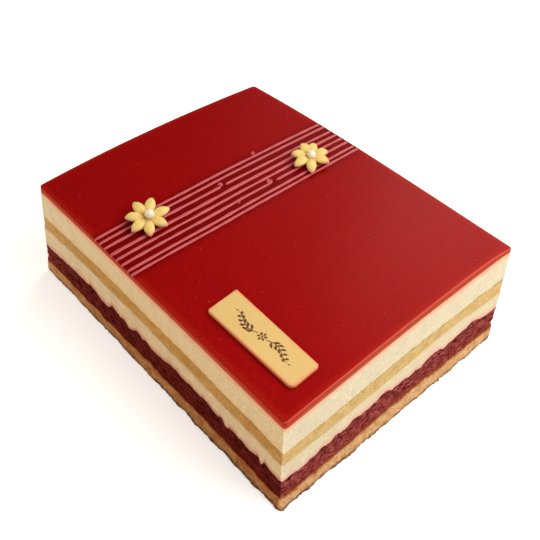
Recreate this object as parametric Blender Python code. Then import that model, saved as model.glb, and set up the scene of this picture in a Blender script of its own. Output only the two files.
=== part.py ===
"""A rectangular fraisier: biscuit, red fruit and cream in layers under a red glaze.

Metres, +Z up. X runs along the front of the cake from left to right, Y from its front to its
back, and the origin is under the middle of the cake, at the height that it rests on.
The glaze carries thick pink drizzled lines. Two sugar flowers with a pearl each and one plain
sugar plaque lie on top.
"""

import math

import bmesh
import bpy
from mathutils import Matrix, Vector, noise

MM = 0.001

# The cake
LENGTH = 152 * MM  # foot, along X
DEPTH = 119 * MM  # foot, along Y
HEIGHT = 50.2 * MM  # to the top of the glaze
CORNER = 0.9 * MM  # radius of the cut upright corners
BASE_CORNER = 1.1 * MM  # the same on the crumbly base
GAP = 0.3 * MM  # between two pieces that touch

# How the soft cake leans and spreads: front left, front right, back right, back left
LEAN_X = (1.0 * MM, 0.6 * MM, 1.3 * MM, 0.6 * MM)  # inwards at its top
LEAN_Y = (2.5 * MM, 0.7 * MM, 0.05 * MM, 0.0)
FOOT_X = (2.6 * MM, 0.1 * MM, 0.1 * MM, 0.8 * MM)  # outwards at its foot
FOOT_Y = (0.0, 0.0, 0.8 * MM, 0.3 * MM)
RISE = (-0.4 * MM, -0.3 * MM, 1.5 * MM, 0.0)  # upwards at its top
BULGE_LEFT = 2.5 * MM  # outwards, halfway along the left end's top edge
BULGE_BACK = 1.65 * MM  # the same on the back's
HOLLOW_RIGHT = 0.9 * MM  # inwards, on the right end's
TUCK_RIGHT = 1.35 * MM  # further inwards, at that end's very top

# Height of each joint, in mm, at nine even steps from the front left corner along the front
# and the right end to the back right corner. The back and the left end mirror them.
JOINTS = {
    "base_top": (7.3, 7.2, 7.6, 7.6, 6.1, 6.6, 8.3, 7.9, 7.5),
    "fruit_top": (16.7, 17.6, 18.4, 18.3, 17.1, 18.0, 19.1, 19.3, 18.7),
    "lower_cream_top": (27.1, 28.9, 28.6, 27.7, 26.8, 26.1, 26.9, 28.4, 26.7),
    "middle_biscuit_top": (33.9, 35.1, 35.1, 34.6, 33.6, 33.4, 34.3, 34.7, 35.1),
    "upper_cream_top": (47.2, 47.55, 47.45, 47.45, 46.9, 47.0, 47.8, 48.1, 48.6),
}
STEPS_PER_SIDE = 4
# Berries that rise into the cream and cream that dips between them: place along the two sides
# (0 to 1 on the front, 1 to 2 on the right end), rise and half width, in mm
FRUIT_LUMPS = (
    (0.22, 1.2, 8),
    (0.29, -1.2, 4),
    (0.335, 2.6, 4),
    (0.45, 1.2, 5),
    (0.62, 2.0, 8),
    (0.74, 1.8, 5),
    (0.81, -1.4, 4),
    (0.93, -1.4, 4),
    (1.08, -0.8, 5),
    (1.30, 1.2, 4),
    (1.42, 2.0, 7),
    (1.55, -0.8, 4),
    (1.65, 1.8, 5),
    (1.73, -0.8, 4),
    (1.86, 2.2, 6),
    (1.95, -0.6, 5),
)

# Relief of the cut walls: how deep it goes, how wide its bumps are and how far they stand back
WALL_RELIEF = {
    "base_biscuit": (0.5 * MM, 5 * MM, 0.0),
    "fruit_layer": (0.7 * MM, 6 * MM, 0.25 * MM),
    "lower_cream": (0.15 * MM, 14 * MM, 0.05 * MM),
    "middle_biscuit": (0.25 * MM, 6 * MM, 0.1 * MM),
    "upper_cream": (0.15 * MM, 14 * MM, 0.05 * MM),
}
STATION = 4.5 * MM  # between two points of a wall
CORNER_STEPS = 2
LEVEL_INSET = 5 * MM  # over which an uneven joint levels off inwards
CRUMB_CHAMFER = 0.5 * MM  # worn lower edge of the base
CRUMB_SPREAD_X = (-0.5 * MM, 1.3 * MM, 0.2 * MM, 0.0)  # further outwards at the base's foot
CRUMB_SPREAD_Y = (0.0, 1.0 * MM, -0.4 * MM, 0.0)
BASE_BELT = 0.55  # height of the base's middle row, as a share of its own
BELT_SPREAD = 0.4  # share of the foot's spread that it takes

# The glaze
RIM = 0.5 * MM  # radius of its poured edge
RIM_STEPS = 2

# The drizzled lines: X at the front edge and at the back edge
LINES = (
    (-33.1, -32.0),
    (-30.0, -29.1),
    (-26.5, -24.7),
    (-22.0, -21.3),
    (-18.4, -17.8),
    (-14.8, -14.2),
    (-10.8, -10.3),
    (-8.2, -7.7),
)
BROKEN_LINES = {2: 0.5, 5: 0.645}  # line, and how far along it the drizzle broke off
BREAK = 2.2 * MM
LINE_WIDTH = 1.3 * MM
LINE_HEIGHT = 0.4 * MM
LINE_SHOULDER = 0.55  # half width of its flat crest, as a share of its own
LINE_SIDE = 0.12 * MM  # height of its upright sides
LINE_TIP = 0.5  # width and height of its ends, as a share of the rest
LINE_WOBBLE = 0.2 * MM
LINE_WOBBLE_SIZE = 25 * MM
LINE_STEPS = 9
LINE_DROP = 0.6 * MM  # how far its ends run down the glaze's side
SINK = 0.35 * MM  # how far the drizzle is fused into the glaze
# Stray drops: X, Y and radius, in mm
DROPS = ((-34.2, 23.2, 1.0), (-15.5, 15.9, 1.2), (-26.8, -0.6, 1.1), (-13.7, -2.0, 0.7))
DROP_FLATTEN = 0.6

# The sugar flowers: X, Y and the direction in which each tips over, every petal's direction
# and reach, then where its pearl's centre lies over its underside, all in mm and degrees
FLOWERS = {
    "flower_front": (
        (-27.3, -36.9, -32),
        ((135, 10.4), (81, 9.7), (26, 8.8), (331, 9.2), (283, 9.0), (232, 8.7), (179, 9.4)),
        (0.6, 0.7, 3.4),
    ),
    "flower_back": (
        (-14.6, 38.4, -47),
        ((126, 7.7), (69, 8.0), (22, 8.6), (320, 9.8), (270, 9.3), (222, 8.3), (167, 7.7)),
        (0.9, -0.35, 2.9),
    ),
}
FLOWER_TILT = 9  # degrees
FLOWER_LIFT = 1.3 * MM  # of its tipped middle over the drizzle
PETAL_WIDTH = 4.3 * MM
PETAL_HEIGHT = 2.5 * MM
PETAL_STEPS = 5
PETAL_SWELL = (0.10, 0.96)  # from where to where on a half wave it swells and tapers
PETAL_FORWARD = 1.25  # moves its widest place outwards
PETAL_BLUNT = (0.75, 0.4)  # how blunt its ends are, across and upwards
PETAL_START = 1.4 * MM  # its inner end, from the flower's middle
PETAL_UPTURN = 0.35 * MM  # how far its tip lifts off
PETAL_STAGGER = 0.07 * MM  # by which each petal lies higher than the last
PETAL_PROFILE = (  # half a turn over its back: across and up, as shares of its own
    (-0.55, 0.0),
    (-1.0, 0.42),
    (-0.62, 0.84),
    (0.0, 1.0),
    (0.62, 0.84),
    (1.0, 0.42),
    (0.55, 0.0),
)
HUB = (2.4 * MM, 1.8 * MM)  # radius at its foot and at its top
HUB_REACH = (-0.85 * MM, 2.0 * MM)  # from its foot to its top, about the petals' underside
PEARL = 1.9 * MM  # radius

# The plaque: its corners with the radius of each, in mm, from the front left one
PLAQUE = (
    (24.0, -48.5, 1.1),
    (67.6, -48.9, 2.2),
    (67.0, -35.8, 1.3),
    (23.0, -34.3, 0.6),
)
PLAQUE_THICK = 1.5 * MM
PLAQUE_EDGE = 0.4 * MM

COLOURS = {  # linear red, green and blue, then roughness
    "base_biscuit": ((0.56, 0.28, 0.10), 0.9),
    "fruit_layer": ((0.14, 0.012, 0.02), 0.35),
    "lower_cream": ((0.87, 0.74, 0.50), 0.6),
    "middle_biscuit": ((0.66, 0.40, 0.12), 0.9),
    "upper_cream": ((0.87, 0.74, 0.50), 0.6),
    "glaze": ((0.38, 0.008, 0.008), 0.2),
    "flower": ((0.88, 0.66, 0.22), 0.6),
    "pearl": ((0.95, 0.92, 0.84), 0.3),
    "plaque": ((0.84, 0.62, 0.25), 0.6),
}


def clear_scene():
    for obj in list(bpy.data.objects):
        bpy.data.objects.remove(obj, do_unlink=True)


def material(name):
    made = bpy.data.materials.get(name)
    if made:
        return made
    made = bpy.data.materials.new(name)
    made.use_nodes = True
    colour, roughness = COLOURS[name]
    shader = made.node_tree.nodes["Principled BSDF"]
    shader.inputs["Base Color"].default_value = (*colour, 1)
    shader.inputs["Roughness"].default_value = roughness
    shader.inputs["Metallic"].default_value = 0
    return made


def new_object(name, bm, finish):
    """Makes an object of a finished bmesh, its faces turned out."""
    bmesh.ops.recalc_face_normals(bm, faces=bm.faces)
    mesh = bpy.data.meshes.new(name)
    bm.to_mesh(mesh)
    bm.free()
    obj = bpy.data.objects.new(name, mesh)
    obj.data.materials.append(material(finish))
    bpy.context.scene.collection.objects.link(obj)
    mesh.shade_smooth()
    mesh.set_sharp_from_angle(angle=math.radians(40))
    return obj


def apply_modifiers(obj):
    """Keeps the mesh as the modifiers leave it."""
    bpy.context.view_layer.update()
    evaluated = obj.evaluated_get(bpy.context.evaluated_depsgraph_get())
    finished = bpy.data.meshes.new_from_object(evaluated)
    obj.modifiers.clear()
    obj.data = finished


def fuse(body, pieces):
    """Joins the pieces into the body with one Boolean, then removes them."""
    group = bpy.data.collections.new(body.name + "_toppings")
    bpy.context.scene.collection.children.link(group)
    for piece in pieces:
        bpy.context.scene.collection.objects.unlink(piece)
        group.objects.link(piece)
    union = body.modifiers.new("fused toppings", "BOOLEAN")
    union.operation = "UNION"
    union.operand_type = "COLLECTION"
    union.collection = group
    union.solver = "EXACT"
    apply_modifiers(body)
    for piece in pieces:
        bpy.data.objects.remove(piece, do_unlink=True)
    bpy.data.collections.remove(group)


# The shape of the whole cake


def between_corners(values, u, v):
    """A value given at the four corners, at u and v from -1 to 1."""
    front = values[0] * (1 - u) + values[1] * (1 + u)
    back = values[3] * (1 - u) + values[2] * (1 + u)
    return (front * (1 - v) + back * (1 + v)) / 4


def lean(point):
    """Where a point of the square-cut cake goes when the soft cake leans and bulges."""
    u, v = 2 * point.x / LENGTH, 2 * point.y / DEPTH
    share = point.z / HEIGHT
    x = point.x - u * between_corners(LEAN_X, u, v) * share
    x += u * between_corners(FOOT_X, u, v) * (1 - share)
    y = point.y - v * between_corners(LEAN_Y, u, v) * share
    y += v * between_corners(FOOT_Y, u, v) * (1 - share)
    x -= HOLLOW_RIGHT * share * (1 - v * v) * max(u, 0)
    x -= TUCK_RIGHT * max(share / 0.05 - 19, 0) * max(v + 0.5, 0) / 1.5 * (1 - v**8) * max(u, 0)
    x -= BULGE_LEFT * share * (1 - v * v) * max(-u, 0)
    y += BULGE_BACK * share * (1 - u * u) * (1 - u / 2) * max(v, 0)
    return Vector((x, y, point.z + between_corners(RISE, u, v) * share))


def glaze_top(x, y):
    """Height of the glaze's top at a place that has leaned already."""
    return HEIGHT + between_corners(RISE, 2 * x / LENGTH, 2 * y / DEPTH)


def unevenness(point, size, seed):
    """Smooth irregularity from -1 to 1 in bumps of about this size."""
    return noise.noise(point / size + Vector((seed * 3.7, seed * 1.3, 0.41)))


def outline(corner, inset=0.0):
    """Stations round the square-cut cake, anticlockwise: sides passed (0 to 4), place, way out."""
    for side in range(4):
        turn = side * math.pi / 2
        along = Vector((math.cos(turn), math.sin(turn), 0))
        out = Vector((along.y, -along.x, 0))
        reach = (LENGTH, DEPTH)[side % 2] / 2
        away = (DEPTH, LENGTH)[side % 2] / 2 - inset
        straight = reach - inset - corner
        steps = steps_along(side)
        for step in range(steps):
            place = along * straight * (2 * step / steps - 1) + out * away
            yield side + (place.dot(along) + reach) / (2 * reach), place, out
        centre = along * straight + out * (away - corner)
        for step in range(CORNER_STEPS):
            angle = math.pi / 2 * step / CORNER_STEPS
            way = out * math.cos(angle) + along * math.sin(angle)
            place = centre + way * corner
            yield side + (place.dot(along) + reach) / (2 * reach), place, way


def steps_along(side):
    return round((LENGTH, DEPTH)[side % 2] / STATION)


def joint_height(name, sides):
    """Height of a joint at a station, by a smooth curve through its measured heights."""
    heights = JOINTS[name]
    shown = min(sides, 4 - sides)
    step = min(int(shown * STEPS_PER_SIDE), len(heights) - 2)
    part = shown * STEPS_PER_SIDE - step
    start, end = heights[step], heights[step + 1]
    before = heights[max(step - 1, 0)]
    after = heights[min(step + 2, len(heights) - 1)]
    slope_in, slope_out = (end - before) / 2, (after - start) / 2
    height = (
        start * (1 + 2 * part) * (1 - part) ** 2
        + slope_in * part * (1 - part) ** 2
        + end * part**2 * (3 - 2 * part)
        + slope_out * part**2 * (part - 1)
    )
    if name == "fruit_top":
        for place, rise, half_width in FRUIT_LUMPS:
            side_length = LENGTH if place < 1 else DEPTH
            off = (shown - place) * side_length / (half_width * MM)
            height += rise * math.exp(-off * off)
    return height * MM


def mean_height(name):
    return sum(JOINTS[name]) / len(JOINTS[name]) * MM


def ring(bm, places):
    return [bm.verts.new(lean(place)) for place in places]


def skin(bm, outer, inner):
    """Closes the band between two rings. Both faces of a joint are split alike."""
    for k in range(len(outer)):
        following = (k + 1) % len(outer)
        bm.faces.new((outer[k], outer[following], inner[following]))
        bm.faces.new((outer[k], inner[following], inner[k]))


def cap(bm, edge):
    """Closes a ring with strips that run from the front to the back."""
    steps = steps_along(0)
    last = 2 * steps + steps_along(1) + 2 * CORNER_STEPS
    bm.faces.new(edge)
    for k in range(1, steps):
        bmesh.ops.connect_verts(bm, verts=[edge[k], edge[last - k]])


def wall_ring(bm, name, corner, height_at, push=0.0, foot=0.0):
    """One ring of a layer's cut wall, with its relief and its share of the foot's spread."""
    depth, size, sink = WALL_RELIEF[name]
    seed = list(WALL_RELIEF).index(name) + 1
    places = []
    for sides, place, out in outline(corner):
        spot = Vector((place.x, place.y, height_at(sides)))
        relief = depth * unevenness(spot, size, seed) - sink
        spread_x = between_corners(CRUMB_SPREAD_X, 2 * spot.x / LENGTH, 2 * spot.y / DEPTH)
        spread_y = between_corners(CRUMB_SPREAD_Y, 2 * spot.x / LENGTH, 2 * spot.y / DEPTH)
        spot += out * (relief + push) + Vector((out.x * spread_x, out.y * spread_y, 0)) * foot
        places.append(spot)
    return ring(bm, places)


def level_ring(bm, corner, height):
    places = outline(corner, LEVEL_INSET)
    return ring(bm, [Vector((place.x, place.y, height)) for _, place, _ in places])


def layer(name, floor, roof, rows):
    """A layer of the cake from one joint to the next."""
    bm = bmesh.new()

    def wall_height(share):
        def height_at(sides):
            low = joint_height(floor, sides) + GAP / 2
            return low + share * (joint_height(roof, sides) - GAP / 2 - low)

        return height_at

    walls = [wall_ring(bm, name, CORNER, wall_height(row / rows)) for row in range(rows + 1)]
    low = level_ring(bm, CORNER, mean_height(floor) + GAP / 2)
    high = level_ring(bm, CORNER, mean_height(roof) - GAP / 2)
    skin(bm, walls[0], low)
    for below, above in zip(walls, walls[1:]):
        skin(bm, below, above)
    skin(bm, walls[-1], high)
    cap(bm, low)
    cap(bm, high)
    return new_object(name, bm, name)


def base_biscuit():
    """The crumbly bottom biscuit, flat underneath, with a worn lower edge."""
    name = "base_biscuit"
    bm = bmesh.new()

    def top(sides):
        return joint_height("base_top", sides) - GAP / 2

    foot = wall_ring(bm, name, BASE_CORNER, lambda sides: 0.0, -CRUMB_CHAMFER, 1.0)
    walls = [
        wall_ring(bm, name, BASE_CORNER, lambda sides: CRUMB_CHAMFER, foot=1.0),
        wall_ring(bm, name, BASE_CORNER, lambda sides: top(sides) * BASE_BELT, foot=BELT_SPREAD),
        wall_ring(bm, name, BASE_CORNER, top),
    ]
    high = level_ring(bm, BASE_CORNER, mean_height("base_top") - GAP / 2)
    for outer, inner in zip([walls[0], *walls], [foot, *walls[1:], high]):
        skin(bm, outer, inner)
    cap(bm, foot)
    cap(bm, high)
    return new_object(name, bm, name)


def glaze():
    """The poured glaze with a rounded rim, before its drizzle."""
    bm = bmesh.new()

    def underside(sides):
        return joint_height("upper_cream_top", sides) + GAP / 2

    rings = [ring(bm, [place + Vector((0, 0, underside(s))) for s, place, _ in outline(CORNER)])]
    for step in range(RIM_STEPS + 1):
        angle = math.pi / 2 * step / RIM_STEPS
        inset = RIM * (1 - math.cos(angle))
        height = Vector((0, 0, HEIGHT - RIM * (1 - math.sin(angle))))
        rings.append(ring(bm, [place + height for _, place, _ in outline(CORNER, inset)]))
    low = level_ring(bm, CORNER, mean_height("upper_cream_top") + GAP / 2)
    skin(bm, rings[0], low)
    for below, above in zip(rings, rings[1:]):
        skin(bm, below, above)
    cap(bm, low)
    cap(bm, rings[-1])
    return new_object("glaze", bm, "glaze")


# What lies on the glaze


def tube(bm, rings):
    """Joins a row of rings into one closed body."""
    for one, other in zip(rings, rings[1:]):
        for k in range(len(one)):
            following = (k + 1) % len(one)
            bm.faces.new((one[k], one[following], other[following], other[k]))
    bm.faces.new(rings[0])
    bm.faces.new(rings[-1])


def over_the_rim():
    """Y, Z and the surface's way out along a line's front end, from its tip to the top."""
    points = [(-DEPTH / 2, HEIGHT - RIM - LINE_DROP, -1.0, 0.0)]
    for step in range(RIM_STEPS + 1):
        angle = math.pi / 2 * (1 - step / (RIM_STEPS + 1))
        out, up = math.sin(angle), math.cos(angle)
        points.append((-DEPTH / 2 + RIM * (1 - out), HEIGHT - RIM * (1 - up), -out, up))
    return points


def line_path(start, end):
    """The same from end to end of a line, between two shares of the cake's depth."""
    path = over_the_rim() if start == 0 else []
    flat = DEPTH / 2 - RIM
    steps = max(2, round(LINE_STEPS * (end - start)))
    for step in range(steps + 1):
        share = start + (end - start) * step / steps
        path.append((flat * (2 * share - 1), HEIGHT, 0.0, 1.0))
    if end == 1:
        path += [(-y, z, -out, up) for y, z, out, up in reversed(over_the_rim())]
    return path


def drizzle_line(number, start, end):
    """One drizzled line, half round on top, fused into the glaze from below."""
    front, back = (x * MM for x in LINES[number])
    half, tall = LINE_WIDTH / 2, LINE_HEIGHT
    shoulder = half * LINE_SHOULDER
    profile = [(-half, -SINK), (-half, LINE_SIDE), (-shoulder, tall)]
    profile += [(-across, height) for across, height in reversed(profile)]
    path = line_path(start, end)
    bm = bmesh.new()
    rings = []
    for k, (y, z, out, up) in enumerate(path):
        share = y / DEPTH + 0.5
        x = front + (back - front) * share
        x += LINE_WOBBLE * unevenness(Vector((number, y, 0)), LINE_WOBBLE_SIZE, 2)
        thin = LINE_TIP if k in (0, len(path) - 1) else 1
        places = []
        for across, height in profile:
            lift = height * thin if height > 0 else height
            places.append(Vector((x + across * thin, y + out * lift, z + up * lift)))
        rings.append(ring(bm, places))
    tube(bm, rings)
    return new_object(f"line_{number}", bm, "glaze")


def drizzle_lines():
    made = []
    for number in range(len(LINES)):
        if number not in BROKEN_LINES:
            made.append(drizzle_line(number, 0, 1))
            continue
        half = BREAK / 2 / DEPTH
        made.append(drizzle_line(number, 0, BROKEN_LINES[number] - half))
        made.append(drizzle_line(number, BROKEN_LINES[number] + half, 1))
    return made


def drop(x, y, radius):
    """A stray drop of drizzle, flattened on the glaze."""
    bm = bmesh.new()
    bmesh.ops.create_icosphere(bm, subdivisions=1, radius=radius)
    flat = Matrix.Diagonal((1, 1, DROP_FLATTEN, 1))
    place = Matrix.Translation((x, y, glaze_top(x, y)))
    bmesh.ops.transform(bm, matrix=place @ flat, verts=bm.verts)
    return new_object("drop", bm, "glaze")


def petal(reach):
    """A plump pointed petal along +X, from near the flower's middle out to its reach."""
    (first, last), (across, upwards) = PETAL_SWELL, PETAL_BLUNT
    bm = bmesh.new()
    rings = []
    for step in range(PETAL_STEPS + 1):
        share = step / PETAL_STEPS
        full = math.sin(math.pi * (first + (last - first) * share**PETAL_FORWARD))
        half = PETAL_WIDTH / 2 * full**across
        tall = PETAL_HEIGHT * full**upwards
        under = PETAL_UPTURN * share**2
        x = PETAL_START + (reach - PETAL_START) * share
        rings.append([bm.verts.new((x, half * a, under + tall * b)) for a, b in PETAL_PROFILE])
    tube(bm, rings)
    return bm


def flower_place(name):
    """Where the middle of a flower's underside lies, tipped over to one side."""
    x, y, towards = FLOWERS[name][0]
    x, y, towards = x * MM, y * MM, math.radians(towards)
    place = Matrix.Translation((x, y, glaze_top(x, y) + LINE_HEIGHT + GAP + FLOWER_LIFT))
    axis = Vector((-math.sin(towards), math.cos(towards), 0))
    return place @ Matrix.Rotation(math.radians(FLOWER_TILT), 4, axis)


def flower(name):
    """Seven petals round a hub that stands on the glaze, with a seat for the pearl."""
    place = flower_place(name)
    (foot, crown), (low, high) = HUB, HUB_REACH
    hub = bmesh.new()
    bmesh.ops.create_cone(
        hub, cap_ends=True, segments=14, radius1=foot, radius2=crown, depth=high - low
    )
    middle = Matrix.Translation((0, 0, (low + high) / 2))
    bmesh.ops.transform(hub, matrix=place @ middle, verts=hub.verts)
    body = new_object(name, hub, "flower")
    petals = []
    for number, (direction, reach) in enumerate(FLOWERS[name][1]):
        bm = petal(reach * MM)
        turn = Matrix.Rotation(math.radians(direction), 4, "Z")
        raised = Matrix.Translation((0, 0, number * PETAL_STAGGER))
        bmesh.ops.transform(bm, matrix=place @ raised @ turn, verts=bm.verts)
        petals.append(new_object("petal", bm, "flower"))
    fuse(body, petals)
    seat = pearl(name + "_seat", name, PEARL + GAP)
    seat.hide_render = True
    seat.display_type = "WIRE"
    cut = body.modifiers.new("seat", "BOOLEAN")
    cut.operation = "DIFFERENCE"
    cut.object = seat
    cut.solver = "EXACT"
    apply_modifiers(body)
    bpy.data.objects.remove(seat, do_unlink=True)
    return body


def pearl(name, flower_name, radius):
    """A round sugar pearl, a little off the middle of its flower."""
    bm = bmesh.new()
    bmesh.ops.create_uvsphere(bm, u_segments=16, v_segments=9, radius=radius)
    centre = Vector(FLOWERS[flower_name][2]) * MM
    place = flower_place(flower_name) @ Matrix.Translation(centre)
    bmesh.ops.transform(bm, matrix=place, verts=bm.verts)
    return new_object(name, bm, "pearl")


def plaque():
    """The sugar plaque: cut a little askew, each corner rounded its own way."""
    bm = bmesh.new()
    corners = [bm.verts.new((x * MM, y * MM, 0)) for x, y, _ in PLAQUE]
    bm.faces.new(corners)
    for vert, (_, _, radius) in zip(corners, PLAQUE):
        reach = radius * MM
        bmesh.ops.bevel(
            bm, geom=[vert], offset=reach, segments=4, profile=0.5, affect="VERTICES", material=-1
        )
    raised = bmesh.ops.extrude_face_region(bm, geom=list(bm.faces))
    top = [item for item in raised["geom"] if isinstance(item, bmesh.types.BMVert)]
    bmesh.ops.translate(bm, vec=(0, 0, PLAQUE_THICK), verts=top)
    rims = [edge for edge in bm.edges if abs(edge.verts[0].co.z - edge.verts[1].co.z) < GAP]
    bmesh.ops.bevel(
        bm, geom=rims, offset=PLAQUE_EDGE, segments=2, profile=0.5, affect="EDGES", material=-1
    )
    for vert in bm.verts:
        vert.co.z += glaze_top(vert.co.x, vert.co.y) + GAP
    return new_object("plaque", bm, "plaque")


def build():
    clear_scene()
    base_biscuit()
    layer("fruit_layer", "base_top", "fruit_top", 4)
    layer("lower_cream", "fruit_top", "lower_cream_top", 2)
    layer("middle_biscuit", "lower_cream_top", "middle_biscuit_top", 2)
    layer("upper_cream", "middle_biscuit_top", "upper_cream_top", 2)
    drops = [drop(x * MM, y * MM, radius * MM) for x, y, radius in DROPS]
    fuse(glaze(), drizzle_lines() + drops)
    for name in FLOWERS:
        flower(name)
        pearl(name + "_pearl", name, PEARL)
    plaque()


build()
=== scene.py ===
# The looks of a rectangular fraisier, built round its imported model.
# Shapes are worked out in millimetres and brought to metres when a piece is finished.

import math
import random

import bmesh
import bpy
from mathutils import Matrix, Vector, noise


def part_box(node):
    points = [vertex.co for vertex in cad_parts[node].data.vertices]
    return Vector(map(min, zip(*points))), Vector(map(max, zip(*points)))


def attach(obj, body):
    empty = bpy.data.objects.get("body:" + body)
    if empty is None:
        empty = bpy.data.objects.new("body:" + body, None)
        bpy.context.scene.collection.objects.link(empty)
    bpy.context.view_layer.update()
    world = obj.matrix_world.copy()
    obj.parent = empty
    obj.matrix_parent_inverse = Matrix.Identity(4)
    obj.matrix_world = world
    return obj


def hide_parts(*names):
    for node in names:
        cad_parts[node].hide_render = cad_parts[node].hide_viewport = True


mm = 0.001
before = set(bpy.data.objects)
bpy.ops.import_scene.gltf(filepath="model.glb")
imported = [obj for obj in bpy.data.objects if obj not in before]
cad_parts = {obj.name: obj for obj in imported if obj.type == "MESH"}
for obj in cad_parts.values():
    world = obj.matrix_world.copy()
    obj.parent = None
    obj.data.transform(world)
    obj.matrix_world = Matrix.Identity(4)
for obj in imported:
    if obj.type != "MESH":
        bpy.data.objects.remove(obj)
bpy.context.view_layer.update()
print("frame loaded:", len(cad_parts), "nodes")


# How the cake was cut and how it settled. Four values go round the corners: front left,
# front right, back right, back left.
cake = {
    "length": 152.0,
    "depth": 119.0,
    "height": 50.2,  # to the top of the glaze
    "corner": 0.9,
    "cornerSteps": 4,
    "leanX": (1.0, 0.6, 1.3, 0.6),  # inwards at the top
    "leanY": (2.5, 0.7, 0.05, 0.0),
    "footX": (2.6, 0.1, 0.1, 0.8),  # outwards at the foot
    "footY": (0.0, 0.0, 0.8, 0.3),
    "rise": (-0.4, -0.3, 1.5, 0.0),
    "bulgeLeft": 2.5,
    "bulgeBack": 1.65,
    "hollowRight": 0.9,
    "tuckRight": (1.35, 0.95),  # inwards at the top of that end, and from which share up
    "station": 0.36,  # between two columns of a wall
    "levelInset": 5.0,  # over which an uneven joint levels off inwards
    "seam": 0.03,  # between two layers
    "endLight": (0.6, 25.0),  # painted light: how much of the ends' lighter colouring the front takes at its left end, and over what length
    "cornerHighlight": 1.35,  # painted highlight: how much paler its upright corners are painted
    "jointSteps": 4,  # along a side, from one height of a joint to the next
    "fineTeeth": (0.45, 0.4),  # height and width of a joint's finest teeth, as shares
}

# Height of each joint at nine even steps from the front left corner along the front and the
# right end to the back right corner, which the hidden sides mirror, then how ragged it is:
# height and width of its small teeth
joints = {
    "baseTop": ((7.3, 7.2, 7.6, 7.6, 6.1, 6.6, 8.3, 7.9, 7.5), 0.4, 4.5),
    "fruitTop": ((16.7, 17.6, 18.4, 18.3, 17.1, 18.0, 19.1, 19.3, 18.7), 0.45, 1.7),
    "lowerCreamTop": ((27.1, 28.9, 28.6, 27.7, 26.8, 26.1, 26.9, 28.4, 26.7), 0.3, 3.2),
    "middleBiscuitTop": ((33.9, 35.1, 35.1, 34.6, 33.6, 33.4, 34.3, 34.7, 35.1), 0.35, 2.2),
    "upperCreamTop": ((47.2, 47.55, 47.45, 47.45, 46.9, 47.0, 47.8, 48.1, 48.6), 0.04, 6.0),
}

# Fruit that rises into the cream and cream that dips into the fruit: place (0 to 1 on the
# front, 1 to 2 on the right end), rise and half width
fruitLumps = (
    (0.175, 0.9, 14.0), (0.243, 1.1, 2.8), (0.300, -1.2, 3.6), (0.347, 1.3, 3.4),
    (0.336, 0.9, 1.4), (0.388, 0.8, 1.6), (0.414, -1.1, 1.5), (0.452, 1.6, 2.0),
    (0.487, 0.8, 1.6), (0.513, -0.8, 1.3), (0.661, 0.9, 14.0), (0.602, 1.0, 4.4),
    (0.671, 0.6, 1.7), (0.728, 0.9, 3.0), (0.789, 1.0, 1.3), (0.806, -1.5, 1.4),
    (0.886, -1.0, 2.0), (0.934, 1.2, 4.5), (0.931, -2.6, 1.0), (1.080, -1.0, 3.2),
    (1.139, -0.6, 1.3), (1.164, 0.9, 1.7), (1.223, 1.1, 1.6), (1.298, 1.5, 2.6),
    (1.360, 0.6, 6.0), (1.430, 1.8, 3.4), (1.550, -0.9, 1.8), (1.600, -0.7, 1.5),
    (1.665, 1.3, 5.0), (1.718, -0.7, 1.5), (1.830, 1.2, 9.0), (1.865, 1.2, 3.2),
)


def acrossCorners(values, u, v):
    front = values[0] * (1 - u) + values[1] * (1 + u)
    back = values[3] * (1 - u) + values[2] * (1 + u)
    return (front * (1 - v) + back * (1 + v)) / 4


# where a point of the square-cut cake goes when the soft cake leans and bulges
def settled(spot):
    u, v = 2 * spot.x / cake["length"], 2 * spot.y / cake["depth"]
    up = spot.z / cake["height"]
    x = spot.x - u * acrossCorners(cake["leanX"], u, v) * up
    x += u * acrossCorners(cake["footX"], u, v) * (1 - up)
    y = spot.y - v * acrossCorners(cake["leanY"], u, v) * up
    y += v * acrossCorners(cake["footY"], u, v) * (1 - up)
    x -= cake["hollowRight"] * up * (1 - v * v) * max(u, 0)
    tuck, start = cake["tuckRight"]
    tuck *= max(up - start, 0) / (1 - start) * max(v + 0.5, 0) / 1.5 * (1 - v**8)
    x -= tuck * max(u, 0)
    x -= cake["bulgeLeft"] * up * (1 - v * v) * max(-u, 0)
    y += cake["bulgeBack"] * up * (1 - u * u) * (1 - u / 2) * max(v, 0)
    return Vector((x, y, spot.z + acrossCorners(cake["rise"], u, v) * up))


def glazeTop(x, y):
    u, v = 2 * x / cake["length"], 2 * y / cake["depth"]
    return cake["height"] + acrossCorners(cake["rise"], u, v)


def unevenness(spot, size, seed):
    return noise.noise(spot / size + Vector((seed * 3.7, seed * 1.3, 0.41)))


# grains on a cut, with finer ones among them
def grained(spot, depth, width, seed):
    return depth * (unevenness(spot, width, seed) + 0.6 * unevenness(spot, width * 0.45, seed + 1))


# pits in the middles of cells, each as wide as this share of its cell
def pitted(spot, depth, width, share, shift=(0, 0, 0)):
    near = noise.voronoi(spot / width + Vector(shift))[0][0]
    return depth * max(0.0, share - near) / share


# how many sides have been passed at a place on the border, from 0 to 4, anticlockwise
def sidesPassed(place, out):
    halfX, halfY = cake["length"] / 2, cake["depth"] / 2
    if abs(out.x) > abs(out.y):
        if out.x > 0:
            return 1 + (place.y + halfY) / (2 * halfY)
        return 3 + (halfY - place.y) / (2 * halfY)
    if out.y < 0:
        return (place.x + halfX) / (2 * halfX)
    return 2 + (halfX - place.x) / (2 * halfX)


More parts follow.
